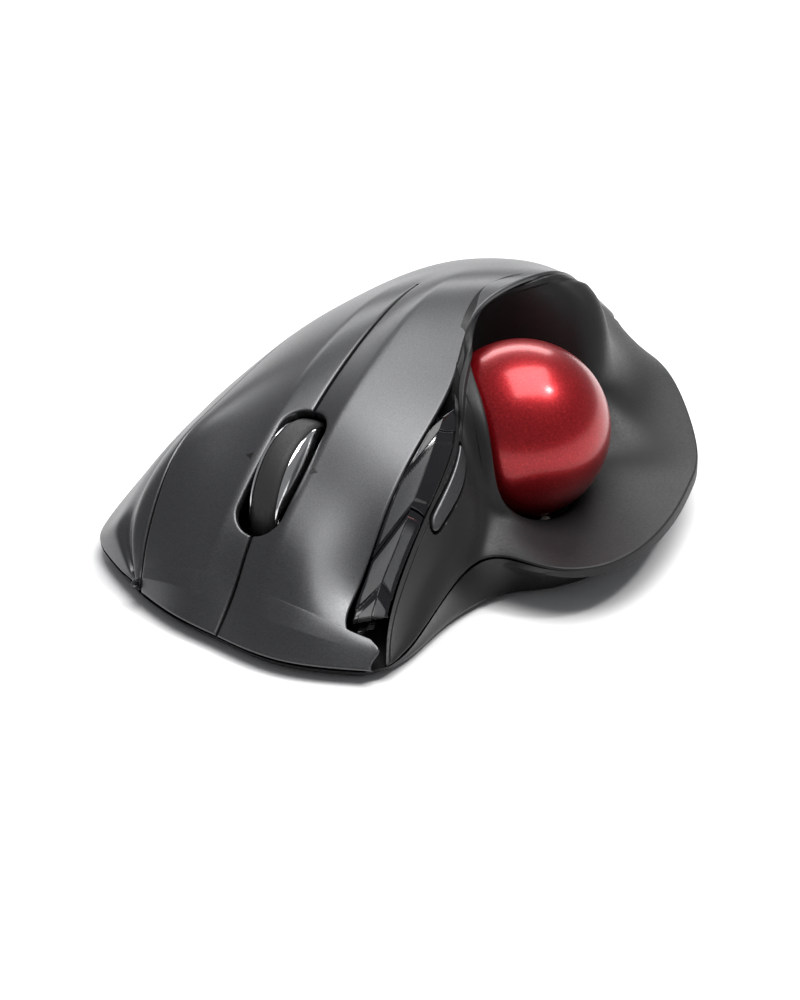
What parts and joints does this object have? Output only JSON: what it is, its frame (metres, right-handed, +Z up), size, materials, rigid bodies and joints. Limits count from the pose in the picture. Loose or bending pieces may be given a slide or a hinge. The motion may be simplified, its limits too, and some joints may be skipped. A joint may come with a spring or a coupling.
{
  "type": "trackball mouse",
  "caption": "Wireless right-hand trackball mouse with a thumb-driven ball, tilting scroll wheel, flexing main buttons, side keys and a stowed receiver.",
  "frame": {"origin": "centre of the footprint box, on the surface that the feet stand on", "axes": "+X to the right hand side, +Y towards the front of the buttons, +Z up"},
  "size_m": [0.1054, 0.1438, 0.0436],
  "materials": {
    "cover": "satin metallic grey, fine sparkle",
    "thumb": "soft matte",
    "case": "fine grain",
    "gloss": "polished",
    "ball": "pearl, polished",
    "rubber": "matte",
    "chrome": "polished",
    "steel": "plain",
    "board": "lacquered laminate",
    "bead": "ceramic",
    "lens": "clear",
    "cell": "printed sleeve"
  },
  "bodies": {
    "case": {"palm_cover": "cover", "thumb_shell": "thumb", "side_trim": "case", "bottom_case": "case", "case_screw_1": "steel", "case_screw_2": "steel", "case_screw_3": "steel", "foot_front": "rubber", "foot_right": "rubber", "foot_left": "rubber", "foot_rear": "rubber", "main_board": "board", "right_switch": "case", "left_switch": "case", "middle_switch": "case", "wheel_encoder": "case", "side_board": "board", "back_switch": "case", "forward_switch": "case", "ball_seat": "case", "support_bead_1": "bead", "support_bead_2": "bead", "support_bead_3": "bead", "ball_sensor": "case", "sensor_lens": "lens", "battery": "cell", "battery_contact": "steel", "battery_spring": "steel", "power_switch_body": "case"},
    "left_key": {"left_button": "cover"},
    "right_key": {"right_button": "cover"},
    "trackball": {"ball": "ball"},
    "cradle": {"wheel_cradle": "case"},
    "carrier": {"wheel_carrier": "case"},
    "wheel": {"scroll_tyre": "rubber", "wheel_hub_right": "chrome", "wheel_hub_left": "chrome", "wheel_axle": "steel"},
    "back_key": {"back_button": "gloss"},
    "forward_key": {"forward_button": "gloss"},
    "speed_key": {"pointer_speed_button": "cover"},
    "switch_knob": {"power_slider": "thumb"},
    "door": {"battery_door": "case"},
    "receiver": {"receiver_shell": "chrome", "receiver_tongue": "case", "receiver_cap": "thumb"}
  },
  "joints": [
    {"name": "left_button_press", "type": "hinge", "parent": "case", "child": "left_key", "pos_m": [0.00975, -0.01041, 0.041], "axis": [-1, 0, 0], "range_deg": [0, 0.35], "stiffness_Nm_per_rad": 1.5, "springref_deg": -0.69},
    {"name": "right_button_press", "type": "hinge", "parent": "case", "child": "right_key", "pos_m": [0.00975, -0.01041, 0.036], "axis": [-1, 0, 0], "range_deg": [0, 0.35], "stiffness_Nm_per_rad": 1.5, "springref_deg": -0.69},
    {"name": "ball_roll", "type": "hinge", "parent": "case", "child": "trackball", "pos_m": [-0.01995, 0.00239, 0.0223], "axis": [1, 0, 0], "continuous": true},
    {"name": "wheel_press", "type": "hinge", "parent": "case", "child": "cradle", "pos_m": [0.00975, 0.01859, 0.014], "axis": [-1, 0, 0], "range_deg": [0, 1.2], "stiffness_Nm_per_rad": 0.8, "springref_deg": -0.57},
    {"name": "wheel_tilt", "type": "hinge", "parent": "cradle", "child": "carrier", "pos_m": [0.00975, 0.02399, 0.014], "axis": [0, 1, 0], "range_deg": [-1.8, 1.8], "stiffness_Nm_per_rad": 0.3},
    {"name": "wheel_spin", "type": "hinge", "parent": "carrier", "child": "wheel", "pos_m": [0.00975, 0.03819, 0.0181], "axis": [1, 0, 0], "continuous": true},
    {"name": "back_key_press", "type": "slide", "parent": "case", "child": "back_key", "axis": [0.7766, -0.2785, -0.565], "range_m": [0, 0.0005], "stiffness_N_per_m": 1200, "springref_m": -0.0003},
    {"name": "forward_key_press", "type": "slide", "parent": "case", "child": "forward_key", "axis": [0.5028, -0.4224, -0.7542], "range_m": [0, 0.0005], "stiffness_N_per_m": 1200, "springref_m": -0.0003},
    {"name": "speed_key_press", "type": "slide", "parent": "case", "child": "speed_key", "axis": [0.8162, -0.17, -0.5521], "range_m": [0, 0.0004], "stiffness_N_per_m": 1200, "springref_m": -0.0003},
    {"name": "power_switch_slide", "type": "slide", "parent": "case", "child": "switch_knob", "axis": [1, 0, 0], "range_m": [0, 0.004]},
    {"name": "battery_door_removal", "type": "slide", "parent": "case", "child": "door", "axis": [0, 0, -1], "range_m": [0, 0.03]},
    {"name": "receiver_removal", "type": "slide", "parent": "case", "child": "receiver", "axis": [0, 0, -1], "range_m": [0, 0.03]}
  ]
}
